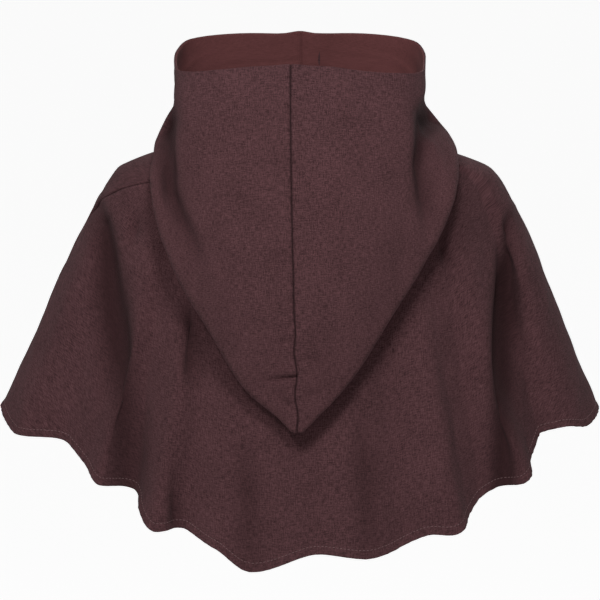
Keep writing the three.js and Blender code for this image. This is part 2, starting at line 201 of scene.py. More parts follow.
BAG_CREASES = table("crease x up depth width", [
    (1, -0.146, 0.080, 0.0000, 0.0110),
    (1, -0.151, 0.052, 0.0100, 0.0140),
    (1, -0.148, 0.022, 0.0100, 0.0095),
    (1, -0.143, -0.022, 0.0090, 0.0070),
    (1, -0.132, -0.052, 0.0070, 0.0080),
    (1, -0.117, -0.080, 0.0040, 0.0095),
    (1, -0.104, -0.112, 0.0000, 0.0100),
    (2, 0.139, 0.084, 0.0000, 0.0110),
    (2, 0.142, 0.057, 0.0120, 0.0140),
    (2, 0.135, 0.030, 0.0100, 0.0080),
    (2, 0.131, 0.006, 0.0090, 0.0080),
    (2, 0.135, -0.033, 0.0070, 0.0090),
    (2, 0.141, -0.080, 0.0000, 0.0090),
    (3, -0.046, -0.232, 0.0000, 0.0030),
    (3, -0.030, -0.229, 0.0026, 0.0026),
    (3, -0.008, -0.226, 0.0048, 0.0024),
    (3, 0.000, -0.226, 0.0000, 0.0020),
    (4, -0.036, -0.192, 0.0000, 0.0040),
    (4, -0.016, -0.187, 0.0020, 0.0040),
    (4, -0.002, -0.186, 0.0000, 0.0030),
    (5, -0.004, -0.201, 0.0000, 0.0040),
    (5, 0.012, -0.207, 0.0022, 0.0050),
    (5, 0.036, -0.213, 0.0000, 0.0060),
    (6, 0.000, -0.252, 0.0000, 0.0040),
    (6, 0.014, -0.246, 0.0022, 0.0050),
    (6, 0.040, -0.230, 0.0000, 0.0070),
    (7, -0.002, -0.270, 0.0000, 0.0030),
    (7, -0.013, -0.255, 0.0024, 0.0040),
    (7, -0.028, -0.240, 0.0000, 0.0050),
])
RIM_CREASES = table("crease x up depth width", [
    (1, 0.026, 0.152, 0.0035, 0.0045),
    (1, 0.019, 0.110, 0.0040, 0.0045),
    (2, -0.094, 0.140, 0.0000, 0.0040),
    (2, -0.090, 0.112, 0.0030, 0.0040),
    (3, -0.068, 0.140, 0.0000, 0.0050),
    (3, -0.066, 0.112, 0.0030, 0.0050),
    (4, 0.066, 0.148, 0.0000, 0.0050),
    (4, 0.080, 0.116, 0.0020, 0.0050),
])
CAPE_CREASES = table("crease x up depth width", [
    (1, -0.223, -0.028, 0.0000, 0.0060),
    (1, -0.219, -0.055, 0.0120, 0.0100),
    (1, -0.209, -0.143, 0.0180, 0.0170),
    (1, -0.200, -0.200, 0.0150, 0.0190),
    (1, -0.190, -0.270, 0.0100, 0.0190),
    (1, -0.186, -0.350, 0.0080, 0.0180),
    (2, 0.232, -0.040, 0.0000, 0.0060),
    (2, 0.229, -0.065, 0.0120, 0.0080),
    (2, 0.228, -0.143, 0.0170, 0.0130),
    (2, 0.226, -0.231, 0.0180, 0.0150),
    (2, 0.222, -0.340, 0.0150, 0.0170),
    (2, 0.220, -0.420, 0.0110, 0.0170),
    (3, -0.124, -0.135, 0.0000, 0.0060),
    (3, -0.121, -0.165, 0.0100, 0.0100),
    (3, -0.118, -0.215, 0.0090, 0.0110),
    (3, -0.116, -0.245, 0.0000, 0.0100),
    (4, 0.152, -0.062, 0.0000, 0.0050),
    (4, 0.156, -0.088, 0.0060, 0.0060),
    (4, 0.162, -0.112, 0.0000, 0.0070),
    (5, -0.176, -0.044, 0.0000, 0.0050),
    (5, -0.181, -0.066, 0.0050, 0.0060),
    (5, -0.186, -0.088, 0.0000, 0.0070),
    (6, -0.138, -0.320, 0.0000, 0.0060),
    (6, -0.134, -0.370, 0.0080, 0.0070),
    (6, -0.133, -0.420, 0.0060, 0.0080),
    (7, 0.060, -0.240, 0.0000, 0.0120),
    (7, 0.070, -0.320, 0.0060, 0.0150),
    (7, 0.076, -0.420, 0.0040, 0.0160),
    (8, -0.064, -0.290, 0.0000, 0.0120),
    (8, -0.057, -0.350, 0.0060, 0.0150),
    (8, -0.052, -0.420, 0.0040, 0.0160),
])
NO_CREASES = dict(crease=[], x=[], up=[], depth=[], width=[])
VIEW_ELEVATION = 8
# The crease depth at which the painted shade in a crease's bottom is at its darkest
FOLD_DEPTH = 0.012


def mix(a, b, share):
    return a + (b - a) * share


def smooth(x, low, high):
    t = np.clip((x - low) / (high - low), 0, 1)
    return t * t * (3 - 2 * t)


def bell(off, width):
    """1 at no distance, falling softly to nothing past a width."""
    return np.exp(-((off / width) ** 2))


def column(rows, key, name):
    """A smooth curve through one column of a table, which doesn't overshoot between its rows."""
    xs, ys = rows[key], rows[name]
    rise = np.diff(ys) / np.diff(xs)
    before = np.concatenate([[0], rise])
    after = np.concatenate([rise, [0]])
    product = before * after
    slope = np.where(product > 0, 2 * product / np.where(product > 0, before + after, 1), 0)

    def at(x):
        x = np.clip(x, xs[0], xs[-1])
        i = np.clip(np.searchsorted(xs, x, side="right") - 1, 0, len(xs) - 2)
        width = xs[i + 1] - xs[i]
        t = (x - xs[i]) / width
        a = 2 * t**3 - 3 * t**2 + 1
        b = t**3 - 2 * t**2 + t
        d = t**3 - t**2
        return a * ys[i] + b * width * slope[i] + (1 - a) * ys[i + 1] + d * width * slope[i + 1]

    return at


def ring_reach(ring, turn):
    across = np.abs(np.sin(np.radians(turn))) / ring["side"]
    cosine = np.cos(np.radians(turn))
    deep = np.abs(cosine) / np.where(cosine > 0, ring["back"], ring["front"])
    return (across ** ring["square"] + deep ** ring["square"]) ** (-1 / ring["square"])


def ring_height(ring, turn):
    middle = np.where(np.cos(np.radians(turn)) > 0, ring["low_back"], ring["low_front"])
    return mix(middle, ring["high"], np.abs(np.sin(np.radians(turn))) ** ring["crest"])


def through_levels(a, b, c, level):
    """A value that is a at level 0, b at level 1 and c at level 2, rounded off round level 1."""
    off = level - 1
    plain = np.where(off < 0, b + (b - a) * off, b + (c - b) * off)
    bend = (c - b - (b - a)) / (4 * SHOULDER_ROUND)
    rounded = b + (c - a) / 2 * off + bend * (off**2 + SHOULDER_ROUND**2)
    return np.where(np.abs(off) >= SHOULDER_ROUND, plain, rounded)


def at_turn(turn, reach, height):
    a = np.radians(turn)
    x, y, z = np.broadcast_arrays(reach * np.sin(a), -reach * np.cos(a), height)
    return np.stack([x, y, z], -1)


reach_level = column(CAPE_SECTIONS, "along", "reach")
height_level = column(CAPE_SECTIONS, "along", "height")
along_at_level = column(CAPE_SECTIONS, "reach", "along")


def cape_point(turn, along, reach=1.0, shoulder=1.0, lift=0.0):
    down = np.maximum(0, along)
    out = through_levels(
        ring_reach(NECK, turn),
        ring_reach(SHOULDER, turn) * shoulder,
        ring_reach(HEM, turn) * reach,
        reach_level(down),
    )
    height = through_levels(
        ring_height(NECK, turn),
        ring_height(SHOULDER, turn),
        ring_height(HEM, turn) - lift * HEM["low_back"],
        height_level(down),
    )
    return at_turn(turn, out, height + np.maximum(0, -along) / STAND_SHARE * NECK_STAND)


# The folds by the way along the hem

hem_points = cape_point(CAPE_FOLDS["turn"], 1.0, *(CAPE_FOLDS[k] for k in ("reach", "shoulder", "lift")))
hem_steps = np.linalg.norm(np.diff(hem_points, axis=0), axis=1)
CAPE_FOLDS["way"] = np.concatenate([[0], np.cumsum(hem_steps)])
walked = CAPE_FOLDS["way"][-1]
way_at_turn = column(CAPE_FOLDS, "turn", "way")
fold_at = {name: column(CAPE_FOLDS, "way", name) for name in ("turn", "reach", "shoulder", "lift")}


def cape_at(way, along):
    return cape_point(fold_at["turn"](way), along, *(fold_at[k](way) for k in ("reach", "shoulder", "lift")))


def off_cape(turn, level, off):
    """A point at a height off the smooth cape."""
    along = along_at_level(level)
    near = np.maximum(0.01, along)
    across = cape_point(turn + 0.5, near) - cape_point(turn - 0.5, near)
    down = cape_point(turn, near + 0.005) - cape_point(turn, near - 0.005)
    normal = np.cross(down, across)
    normal /= np.linalg.norm(normal, axis=-1, keepdims=True)
    return cape_point(turn, along) + normal * np.asarray(off)[..., None]


hood_at = {name: column(HOOD_LAPS, "lap", name) for name in HOOD_LAPS if name != "lap"}


def hood_steering(lap):
    """The points that steer one line of the hood, from the neckline over the nape, down the cape,
    round the bag's fold and up the outer side to the rim."""
    turn = lap + SEAM_TURN * (1 + np.cos(np.radians(lap))) / 2
    fold_turn, fold_level = hood_at["fold_turn"](lap), hood_at["fold_level"](lap)
    roll = hood_at["roll"](lap) * ROLL_HOLLOW + LINING_INSIDE
    up = np.array([0, 0, 1.0])
    foot = cape_point(turn, -STAND_SHARE) + SEAM_GAP * up
    rim = at_turn(turn, ring_reach(RIM, turn), hood_at["rim"](lap) * RIM_HEIGHT)

    def lift(level):
        share = np.maximum(0, level - TIP_LIFT_FROM) / (TIP_LIFT_TO - TIP_LIFT_FROM)
        return CLOTH + mix(BAG_LIFT, TIP_LIFT, share)

    def under(share, arch=0.0):
        level = mix(UNDER_FROM, fold_level, share)
        return off_cape(mix(turn, fold_turn, share), level, lift(level) + arch)

    fold = under(1)
    reach_out = np.hypot(fold[:, 0] - foot[:, 0], fold[:, 1] - foot[:, 1])
    turn_out = np.minimum(NAPE_TURN, TURN_SHARE * reach_out)
    rise = np.minimum(NAPE_RISE, NAPE_RISE_LEAST + RISE_SHARE * reach_out)

    def nape(high, out):
        return foot + rise[:, None] * high * up + at_turn(turn, turn_out * out, 0)

    onward = fold - under(0.85)
    onward /= np.linalg.norm(onward, axis=1, keepdims=True)
    above = off_cape(fold_turn, fold_level, lift(fold_level) + 2 * roll)

    def round_fold(share):
        return mix(fold, above, share) + onward * (ROLL_REACH * roll)[:, None]

    def swell(share, amount):
        point = mix(above, rim, share)
        out = point * [1, 1, 0]
        out /= np.linalg.norm(out, axis=1, keepdims=True)
        return point + out * (amount * BAG_SWELL)[:, None]

    low, high = hood_at["low"](lap), hood_at["high"](lap)
    folded = [
        foot, nape(0.5, 0), nape(1, 0.1), nape(1, 1),
        under(0.5, UNDER_ARCH * rise), under(0.78), fold,
        round_fold(0.3), round_fold(0.7), above,
        swell(1 / 3, low), swell(2 / 3, high), swell(0.88, high * 0.4), rim,
    ]
    opened = smooth(np.abs(lap), OPENED_FROM, OPENED_TO)[:, None]
    drawn_in = smooth(np.abs(lap), DRAWN_IN_FROM, DRAWN_IN_TO)[:, None]
    last, bend = len(folded) - 1, 6
    points = []
    for i, point in enumerate(folded):
        plain = mix(foot, rim, i / last)
        bent = mix(foot, fold, i / bend) if i < bend else mix(fold, rim, (i - bend) / (last - bend))
        bent[:, 2] = plain[:, 2]
        points.append(mix(mix(point, bent, opened), plain, drawn_in))
    return np.stack(points)


def hood_surface(laps, ts):
    """The hood on a grid of laps by ts, on a cubic B-spline through its steering points."""
    points = hood_steering(laps)
    last = len(points) - 1
    padded = np.concatenate([[2 * points[0] - points[1]], points, [2 * points[-1] - points[-2]]])
    at = ts * last
    i = np.clip(np.floor(at).astype(int), 0, last - 1)
    f = at - i
    weights = ((1 - f) ** 3, 3 * f**3 - 6 * f**2 + 4, -3 * f**3 + 3 * f**2 + 3 * f + 1, f**3)
    line = sum(w[:, None, None] / 6 * padded[i + k] for k, w in enumerate(weights))
    return line.transpose(1, 0, 2)


# Grids of cloth

def grid_normals(points):
    across = np.gradient(points, axis=0)
    along = np.gradient(points, axis=1)
    normal = np.cross(across, along)
    return normal / np.maximum(np.linalg.norm(normal, axis=-1, keepdims=True), 1e-12)


def distances(points, axis):
    """How far each point of a grid lies along one of its ways, from the first."""
    steps = np.linalg.norm(np.diff(points, axis=axis), axis=-1)
    shape = list(steps.shape)
    shape[axis] = 1
    return np.concatenate([np.zeros(shape), np.cumsum(steps, axis=axis)], axis=axis)


WAVES = table("across along amount phase", [
    (11, 4, 0.30, 0.4),
    (-6, 13, 0.26, 1.9),
    (19, 9, 0.16, 3.1),
    (7, -23, 0.14, 4.4),
    (31, 17, 0.08, 0.9),
    (-27, 29, 0.06, 2.6),
])


def ripple(u, v, scale=1.0):
    """A soft unevenness from -1 to 1, over places in metres on the cloth."""
    total = 0.0
    for across, along, amount, phase in zip(*WAVES.values()):
        total = total + amount * np.sin(2 * math.pi * (across * u + along * v) * scale + phase)
    return total


def in_view(points):
    """How far across and up the photo's view each point lies."""
    e = math.radians(VIEW_ELEVATION)
    return points[..., 0], points[..., 2] * math.cos(e) + points[..., 1] * math.sin(e)


def creased(points, rows):
    """How deep the creases of a table are at each point, seen from the photo's side."""
    across, up = in_view(points)
    deepest = np.zeros(across.shape)
    places = list(zip(*rows.values()))
    for (crease, x0, up0, depth0, width0), (same, x1, up1, depth1, width1) in zip(places, places[1:]):
        if same != crease:
            continue
        dx, dup = x1 - x0, up1 - up0
        share = np.clip(((across - x0) * dx + (up - up0) * dup) / (dx * dx + dup * dup), 0, 1)
        off = np.hypot(across - x0 - share * dx, up - up0 - share * dup)
        valley = mix(depth0, depth1, share) * bell(off, mix(width0, width1, share))
        deepest = np.maximum(deepest, valley)
    return deepest


def wall(name, points, uv, seam, fold, thickness, side, offset=0.0):
    """A closed wall of cloth on a grid of points. side is 1 where the grid's normals point out of the
    cloth's good side, and -1 where they point in. The wall thins towards its two ends along the
    cloth. seam and fold say how near each point is to a seam or a fold's bottom, where its colour
    is darkened with painted shade."""
    normal = grid_normals(points) * side
    columns, rows = points.shape[:2]
    half = np.full(rows, thickness / 2)
    half[0] = half[-1] = thickness * EDGE_ROUND
    good = points + normal * (offset + half[None, :, None])
    back = points + normal * (offset - half[None, :, None])
    verts = np.concatenate([good.reshape(-1, 3), back.reshape(-1, 3)])
    i, j = np.meshgrid(np.arange(columns - 1), np.arange(rows - 1), indexing="ij")
    a = (i * rows + j).ravel()
    face = np.stack([a, a + rows, a + rows + 1, a + 1], -1)
    other = columns * rows
    if side < 0:
        face = face[:, ::-1]
    quads = [face, face[:, ::-1] + other]
    low = np.arange(columns - 1) * rows
    high = low + rows - 1
    first = np.arange(rows - 1)
    final = first + (columns - 1) * rows
    rims = [
        np.stack([low, low + other, low + other + rows, low + rows], -1),
        np.stack([high, high + rows, high + other + rows, high + other], -1),
        np.stack([first, first + 1, first + 1 + other, first + other], -1),
        np.stack([final, final + other, final + other + 1, final + 1], -1),
    ]
    quads += [r[:, ::-1] if side < 0 else r for r in rims]
    faces = np.concatenate(quads)
    mesh = bpy.data.meshes.new(name)
    mesh.from_pydata(verts.tolist(), [], faces.tolist())
    mesh.polygons.foreach_set("use_smooth", np.ones(len(faces), bool))
    coords = np.concatenate([uv.reshape(-1, 2)] * 2)
    layer = mesh.uv_layers.new(name="cloth")
    corners = np.empty(len(mesh.loops), np.int32)
    mesh.loops.foreach_get("vertex_index", corners)
    layer.data.foreach_set("uv", coords[corners].ravel().astype(np.float32))
    for mark, values in (("seam", seam), ("fold", fold)):
        stain = mesh.attributes.new(mark, "FLOAT", "POINT")
        stain.data.foreach_set("value", np.concatenate([values.ravel()] * 2).astype(np.float32))
    mesh.update()
    piece = bpy.data.objects.new(name, mesh)
    bpy.context.scene.collection.objects.link(piece)
    return piece


STEP_GROWTH = 1.8


def growing(reach, count):
    """Places from 0 up to a reach, by steps that grow."""
    return reach * np.linspace(0, 1, count, endpoint=False) ** STEP_GROWTH


def crowded(reach, count):
    """Shares from 0 to 1 that crowd near both ends, within a reach of them."""
    near = growing(reach, 12)
    return np.concatenate([near, np.linspace(reach, 1 - reach, count), 1 - near[::-1]])


# Seams and hem, and how uneven the cloth is. Pitch is the length of one wave, and reach or width is
# how far from the seam, hem or rim a form can be seen.

SEAM_DEPTH = 0.0030
SEAM_WIDTH = 0.0013
# Half width of the painted shade along each seam line
SEAM_SHADE_WIDTH = 0.0014
SWELL_HEIGHT = 0.0004
SWELL_FROM_SEAM = 0.006
SWELL_WIDTH = 0.004
STITCH_INSET = 0.0085
STITCH_DENT = 0.0005
STITCH_DENT_WIDTH = 0.0009
HEM_STEP = 0.00045
HEM_STEP_WIDTH = 0.0015
HEM_PUCKER = 0.0003
HEM_PUCKER_PITCH = 0.011
BAG_PUCKER = 0.0006
BAG_PUCKER_PITCH = 0.017
PUCKER_REACH = 0.012
CAPE_UNEVEN = 0.0016
HOOD_UNEVEN = 0.0012
CAPE_HELD, CAPE_FREE = 0.05, 0.2
SEAM_WANDER = 0.0014
SEAM_WANDER_PITCH = 0.047
SEAM_WANDER_REACH = 0.02
RIM_PEAK = 0.0035
RIM_PEAK_WIDTH = 0.014


def seam_dip(off):
    """How far a seam draws the cloth in at a distance from it, with a soft swell beside it."""
    return SEAM_DEPTH * bell(off, SEAM_WIDTH) - SWELL_HEIGHT * bell(off - SWELL_FROM_SEAM, SWELL_WIDTH)


# The cape

CAPE_LENGTH = 0.42
ROWS_NEAR_HEM = np.array([
    0.0004, 0.001, 0.0018, 0.003, 0.0045, 0.006, 0.0072, 0.008, 0.0086, 0.0094, 0.0105, 0.013,
])


def cape_grid(from_seam, to_seam, count, rows):
    """One panel of the cape between two seams, with its places on the cloth in metres."""
    alongs = np.concatenate([
        [-STAND_SHARE, -0.01, 0],
        np.linspace(0.012, 1 - 0.04, rows),
        1 - ROWS_NEAR_HEM[::-1] / CAPE_LENGTH,
        [1],
    ])
    shares = crowded(0.02, count)
    start, end = (
        way_at_turn(column(seam, "along", "turn")(np.maximum(0, alongs))) for seam in (from_seam, to_seam)
    )
    end = np.where(end < start, end + walked, end)
    way = mix(start[None, :], end[None, :], shares[:, None]) % walked
    points = cape_at(way, alongs[None, :])
    middle = distances(points, 0)
    uv = np.stack([middle - middle[len(shares) // 2][None, :], distances(points, 1)], -1)
    return points, uv


def dress_cape(points, uv, shift, creases):
    """Seams, hem and the cloth's unevenness, pressed into a panel of the cape. The shift keeps the
    panels' unevenness from being alike."""
    from_start = distances(points, 0)
    to_end = from_start[-1][None, :] - from_start
    down = uv[..., 1]
    to_hem = down[:, -1:] - down
    dip = seam_dip(from_start) + seam_dip(to_end)
    pull = np.sin(from_start * 2 * math.pi / HEM_PUCKER_PITCH + 2 * ripple(from_start, down, 3.0))
    pucker = HEM_PUCKER * pull * bell(to_hem, PUCKER_REACH)
    dent = STITCH_DENT * bell(to_hem - STITCH_INSET, STITCH_DENT_WIDTH)
    hem = HEM_STEP * smooth(-to_hem, -HEM_TURN, -HEM_TURN + HEM_STEP_WIDTH)
    soft = CAPE_UNEVEN * ripple(uv[..., 0] + shift, down * 0.45) * smooth(down, CAPE_HELD, CAPE_FREE)
    rise = hem + soft + pucker - dent - dip
    crease = creased(points, creases)
    # Painted shade along the seam lines, as a mask for the colour
    seam = bell(np.minimum(from_start, to_end), SEAM_SHADE_WIDTH)
    # Painted shade in the creases' bottoms, as deep as the creases are
    fold = np.clip(crease / FOLD_DEPTH, 0, 1)
    return points - grid_normals(points) * (rise - crease)[..., None], seam, fold


def cape_panel(name, from_seam, to_seam, count, rows, shift, creases):
    points, uv = cape_grid(from_seam, to_seam, count, rows)
    points, seam, fold = dress_cape(points, uv, shift, creases)
    return wall(name, points, uv, seam, fold, CLOTH, -1), points, uv


def hem_stitches(name, points, uv, material):
    """A row of stitches along the hem, each a small bead of thread lying on the cloth."""
    normal = -grid_normals(points)
    to_hem = uv[:, -1:, 1] - uv[..., 1]
    row = np.argmin(np.abs(to_hem - STITCH_INSET), axis=1)
    pick = np.arange(len(points))
    line = points[pick, row] + normal[pick, row] * (CLOTH / 2)
    way = distances(line[:, None], 0)[:, 0]
    starts = np.arange(STITCH_PITCH, way[-1] - 2 * STITCH_PITCH, STITCH_PITCH)
    rings, sides = 5, 6
    shares = np.linspace(0, 1, rings)
    widths = np.sqrt(np.maximum(STITCH_END, 1 - (2 * shares - 1) ** 2))
    verts, faces = [], []
    for start in starts:
        at = start + shares * STITCH_LENGTH
        spine = np.stack([np.interp(at, way, line[:, k]) for k in range(3)], -1)
        out = np.stack([np.interp(at, way, normal[pick, row][:, k]) for k in range(3)], -1)
        forward = spine[-1] - spine[0]
        forward /= np.linalg.norm(forward)
        across = np.cross(forward, out)
        base = len(verts)
        for k in range(rings):
            for s in range(sides):
                a = 2 * math.pi * s / sides
                ring = across[k] * math.cos(a) + out[k] * math.sin(a)
                rise = out[k] * STITCH_RADIUS * STITCH_RISE
                verts.append(spine[k] + ring * STITCH_RADIUS * widths[k] + rise)
        for k in range(rings - 1):
            for s in range(sides):
                t = (s + 1) % sides
                a, b = base + k * sides, base + (k + 1) * sides
                faces.append((a + s, b + s, b + t, a + t))
        faces.append(tuple(base + s for s in range(sides)))
        faces.append(tuple(base + (rings - 1) * sides + s for s in reversed(range(sides))))
    mesh = bpy.data.meshes.new(name)
    mesh.from_pydata([v.tolist() for v in verts], [], faces)
    mesh.polygons.foreach_set("use_smooth", np.ones(len(faces), bool))
    mesh.materials.append(material)
    piece = bpy.data.objects.new(name, mesh)
    bpy.context.scene.collection.objects.link(piece)
    return piece


# The hood: laps are degrees round it from the seam of the bag, and ts are shares of the way from the
# neckline, under the bag, round its fold and up the outer side to the rim

NEAR_SEAM = 4
BAG_LAPS = 100
FRONT_LAPS = (102, 176)
NEAR_EDGE = np.array([0, 0.0015, 0.004, 0.008, 0.013])
UNDER_SHARES = (0.02, 0.6)
OUTER_SHARES = (0.603, 0.98)
OUTER_RISES = (0.6, 0.7)
OUTER_ENDS = (95, 120)
RIM_SIDE_RISES = (0.6, 0.8)
RIM_SIDE_STARTS = (120, 140)
FREE_RISES = (0.62, 0.72)
FREE_ENDS = (100, 130)
FREE_AT_FRONT = 0.25
LINING_CLOSES = (0.985, 0.998)


def hood_grid(side, fine):
    """One half of the hood, with most of its columns and rows on the bag's outer side."""
    near_seam = growing(NEAR_SEAM, 14)
    laps = np.concatenate([
        near_seam,
        np.linspace(NEAR_SEAM, BAG_LAPS, int(96 * fine)),
        np.linspace(*FRONT_LAPS, int(26 * fine)),
        180 - near_seam[::-1],
    ])
    if side < 0:
        laps = -laps[::-1]
    ts = np.concatenate([
        NEAR_EDGE,
        np.linspace(*UNDER_SHARES, int(56 * fine)),
        np.linspace(*OUTER_SHARES, int(200 * fine)),
        1 - NEAR_EDGE[::-1],
    ])
    points = hood_surface(laps, ts)
    from_first = distances(points, 0)
    from_back = from_first if side > 0 else from_first[-1][None, :] - from_first
    down = distances(points, 1)
    uv = np.stack([from_back * side, down - down[:, -1:]], -1)
    return laps, ts, points, from_back, uv


def dressed_hood(side, fine):
    """One half of the hood with its seams, creases and the cloth's unevenness pressed in."""
    laps, ts, points, from_back, uv = hood_grid(side, fine)
    to_front = from_back.max(axis=0, keepdims=True) - from_back
    lap = np.abs(laps)[:, None]
    outer = smooth(ts, *OUTER_RISES)[None, :] * (1 - smooth(lap, *OUTER_ENDS))
    rim_side = smooth(ts, *RIM_SIDE_RISES)[None, :] * smooth(lap, *RIM_SIDE_STARTS)
    free = smooth(ts, *FREE_RISES)[None, :] * mix(1, FREE_AT_FRONT, smooth(lap, *FREE_ENDS))
    soft = HOOD_UNEVEN * ripple(uv[..., 0] * 0.8, uv[..., 1] * 0.8) * free
    pull = np.sin(uv[..., 1] * 2 * math.pi / BAG_PUCKER_PITCH + 3 * ripple(uv[..., 1], uv[..., 0], 2.0))
    pucker = BAG_PUCKER * pull * bell(from_back, PUCKER_REACH) * outer
    crease = creased(points, BAG_CREASES) * outer + creased(points, RIM_CREASES) * rim_side
    rise = soft + pucker - crease - seam_dip(from_back) - 0.4 * seam_dip(to_front)
    # Painted shade along the bag's seam, as a mask for the colour
    seam = bell(from_back, SEAM_SHADE_WIDTH)
    up = in_view(points)[1]
    wander = SEAM_WANDER * np.sin(up * 2 * math.pi / SEAM_WANDER_PITCH) * smooth(-up, 0.14, 0.20) * outer
    aside = np.array([1.0, 0, 0]) * (wander * bell(from_back, SEAM_WANDER_REACH))[..., None]
    peak = RIM_PEAK * bell(to_front, RIM_PEAK_WIDTH) * smooth(ts, 0.8, 1.0)[None, :]
    above = np.array([0, 0, 1.0]) * peak[..., None]
    # Painted shade in the creases' bottoms, as deep as the creases are
    fold = np.clip(crease / FOLD_DEPTH, 0, 1)
    return ts, points + grid_normals(points) * rise[..., None] + aside + above, uv, seam, fold


def hood_half(name, lining_name, side):
    """One half of the hood and its half of the lining, which is a coarser wall that closes against
    the cloth at the rim."""
    ts, points, uv, seam, fold = dressed_hood(side, 1.0)
    cloth = wall(name, points, uv, seam, fold, CLOTH, 1)
    ts, points, uv, seam, fold = dressed_hood(side, 0.6)
    closed = -(CLOTH / 2 + LINING_CLOTH / 2)
    offset = mix(LINING_OFFSET, closed, smooth(ts, *LINING_CLOSES))[None, :, None]
    # The lining gets a weaker painted shade in the creases
    lining = wall(lining_name, points, uv, seam, 0.3 * fold, LINING_CLOTH, 1, offset)
    return cloth, lining


# Materials

CLOTH_DARK = (0.0262, 0.0109, 0.0120, 1)
CLOTH_LIGHT = (0.0805, 0.0350, 0.0388, 1)
LINING_DARK = (0.056, 0.0175, 0.0175, 1)
LINING_LIGHT = (0.095, 0.0315, 0.0320, 1)
THREAD_DARK = (0.10125, 0.0585, 0.060, 1)
THREAD_LIGHT = (0.135, 0.078, 0.080, 1)
CLOTH_PITCH = 0.0009
LINING_PITCH = 0.0006
# How strongly the painted shade darkens the seam lines
SEAM_PAINTED_SHADE = 0.85
# How strongly the painted shade darkens the crease bottoms
FOLD_SHADE = 0.8
DYE_GRAIN = 22.0
DYE_SHARE = 0.1
WEAVE_SHADE = 0.08


def add_node(tree, kind, settings=None, **inputs):
    """A node with its settings, its plain socket values and its links."""
    node = tree.nodes.new(kind)
    for name, value in (settings or {}).items():
        setattr(node, name, value)
    for name, value in inputs.items():
        socket = node.inputs[int(name[1:])] if name[0] == "_" else node.inputs[name.replace("_", " ")]
        if isinstance(value, bpy.types.NodeSocket):
            tree.links.new(value, socket)
        else:
            socket.default_value = value
    return node


def maths(tree, operation, a, b=0.0):
    return add_node(tree, "ShaderNodeMath", {"operation": operation}, _0=a, _1=b).outputs[0]


def noise(tree, place, across, along, detail=2.0):
    """A noise with so many grains a metre across and along the cloth."""
    scaled = add_node(
        tree, "ShaderNodeVectorMath", {"operation": "MULTIPLY"}, _0=place, _1=(across, along, 1.0)
    ).outputs[0]
    return add_node(
        tree, "ShaderNodeTexNoise", {"noise_dimensions": "2D"}, Vector=scaled, Scale=1.0, Detail=detail
    ).outputs["Fac"]


def spread(tree, value, low, high):
    return add_node(tree, "ShaderNodeMapRange", None, Value=value, From_Min=low, From_Max=high).outputs[0]


def blend(tree, share, a, b):
    """A colour that goes from a to b with a share from 0 to 1."""
    return add_node(tree, "ShaderNodeMix", {"data_type": "RGBA"}, _0=share, _6=a, _7=b).outputs[2]


def woven(name, dark, light, grain, slub, roughness, sheen, pitch, bump):
    """A plain weave: its threads, their slubs along both ways and a soft unevenness of the dye."""
    material = bpy.data.materials.new(name)
    material.use_nodes = True
    tree = material.node_tree
    tree.nodes.clear()
    place = add_node(tree, "ShaderNodeUVMap", {"uv_map": "cloth"}).outputs[0]
    split = add_node(tree, "ShaderNodeSeparateXYZ", None, Vector=place)
    threads = [
        maths(tree, "SINE", maths(tree, "MULTIPLY", split.outputs[k], 2 * math.pi / pitch))
        for k in (0, 1)
    ]
    weave = maths(tree, "MULTIPLY", threads[0], threads[1])
    warp = noise(tree, place, grain * 1.5, grain / 4)
    weft = noise(tree, place, grain / 4, grain * 1.5)
    slubs = maths(tree, "ADD", maths(tree, "MULTIPLY", warp, 0.5), maths(tree, "MULTIPLY", weft, 0.5))
    heather = noise(tree, place, grain * 1.3, grain * 1.3, 1.0)
    dye = noise(tree, place, DYE_GRAIN, DYE_GRAIN, 3.0)
    dyed = maths(
        tree, "ADD",
        maths(tree, "MULTIPLY", heather, 1 - DYE_SHARE - slub),
        maths(tree, "MULTIPLY", dye, DYE_SHARE),
    )
    mixed = spread(tree, maths(tree, "ADD", maths(tree, "MULTIPLY", slubs, slub), dyed), 0.37, 0.63)
    shade = maths(tree, "ADD", maths(tree, "MULTIPLY", weave, WEAVE_SHADE), mixed)
    colour = blend(tree, shade, dark, light)
    # Painted shade along the seams: the colour is darkened in a narrow line
    seam = add_node(tree, "ShaderNodeAttribute", {"attribute_name": "seam"}).outputs["Fac"]
    painted_seam_shade = (0.35 * dark[0], 0.15 * dark[1], 0.2 * dark[2], 1)
    colour = blend(tree, maths(tree, "MULTIPLY", seam, SEAM_PAINTED_SHADE), colour, painted_seam_shade)
    # Painted shade in the bottoms of the creases
    fold = add_node(tree, "ShaderNodeAttribute", {"attribute_name": "fold"}).outputs["Fac"]
    painted_fold_shade = (0.6 * dark[0], 0.5 * dark[1], 0.5 * dark[2], 1)
    colour = blend(tree, maths(tree, "MULTIPLY", fold, FOLD_SHADE), colour, painted_fold_shade)
    height = maths(tree, "ADD", maths(tree, "MULTIPLY", weave, 0.35), slubs)
    bumped = add_node(
        tree, "ShaderNodeBump", None, Strength=bump, Distance=0.0006, Height=height
    ).outputs[0]
    rough = spread(tree, slubs, -1.2, 1.6)
    rough = maths(tree, "ADD", maths(tree, "MULTIPLY", rough, 0.1), roughness)
    shader = add_node(
        tree, "ShaderNodeBsdfPrincipled", None,
        Base_Color=colour, Roughness=rough, Normal=bumped,
        Specular_IOR_Level=0.1, Sheen_Weight=sheen, Sheen_Roughness=0.6,
        Sheen_Tint=(0.75, 0.55, 0.57, 1),
    )
    add_node(tree, "ShaderNodeOutputMaterial", None, Surface=shader.outputs[0])
    return material


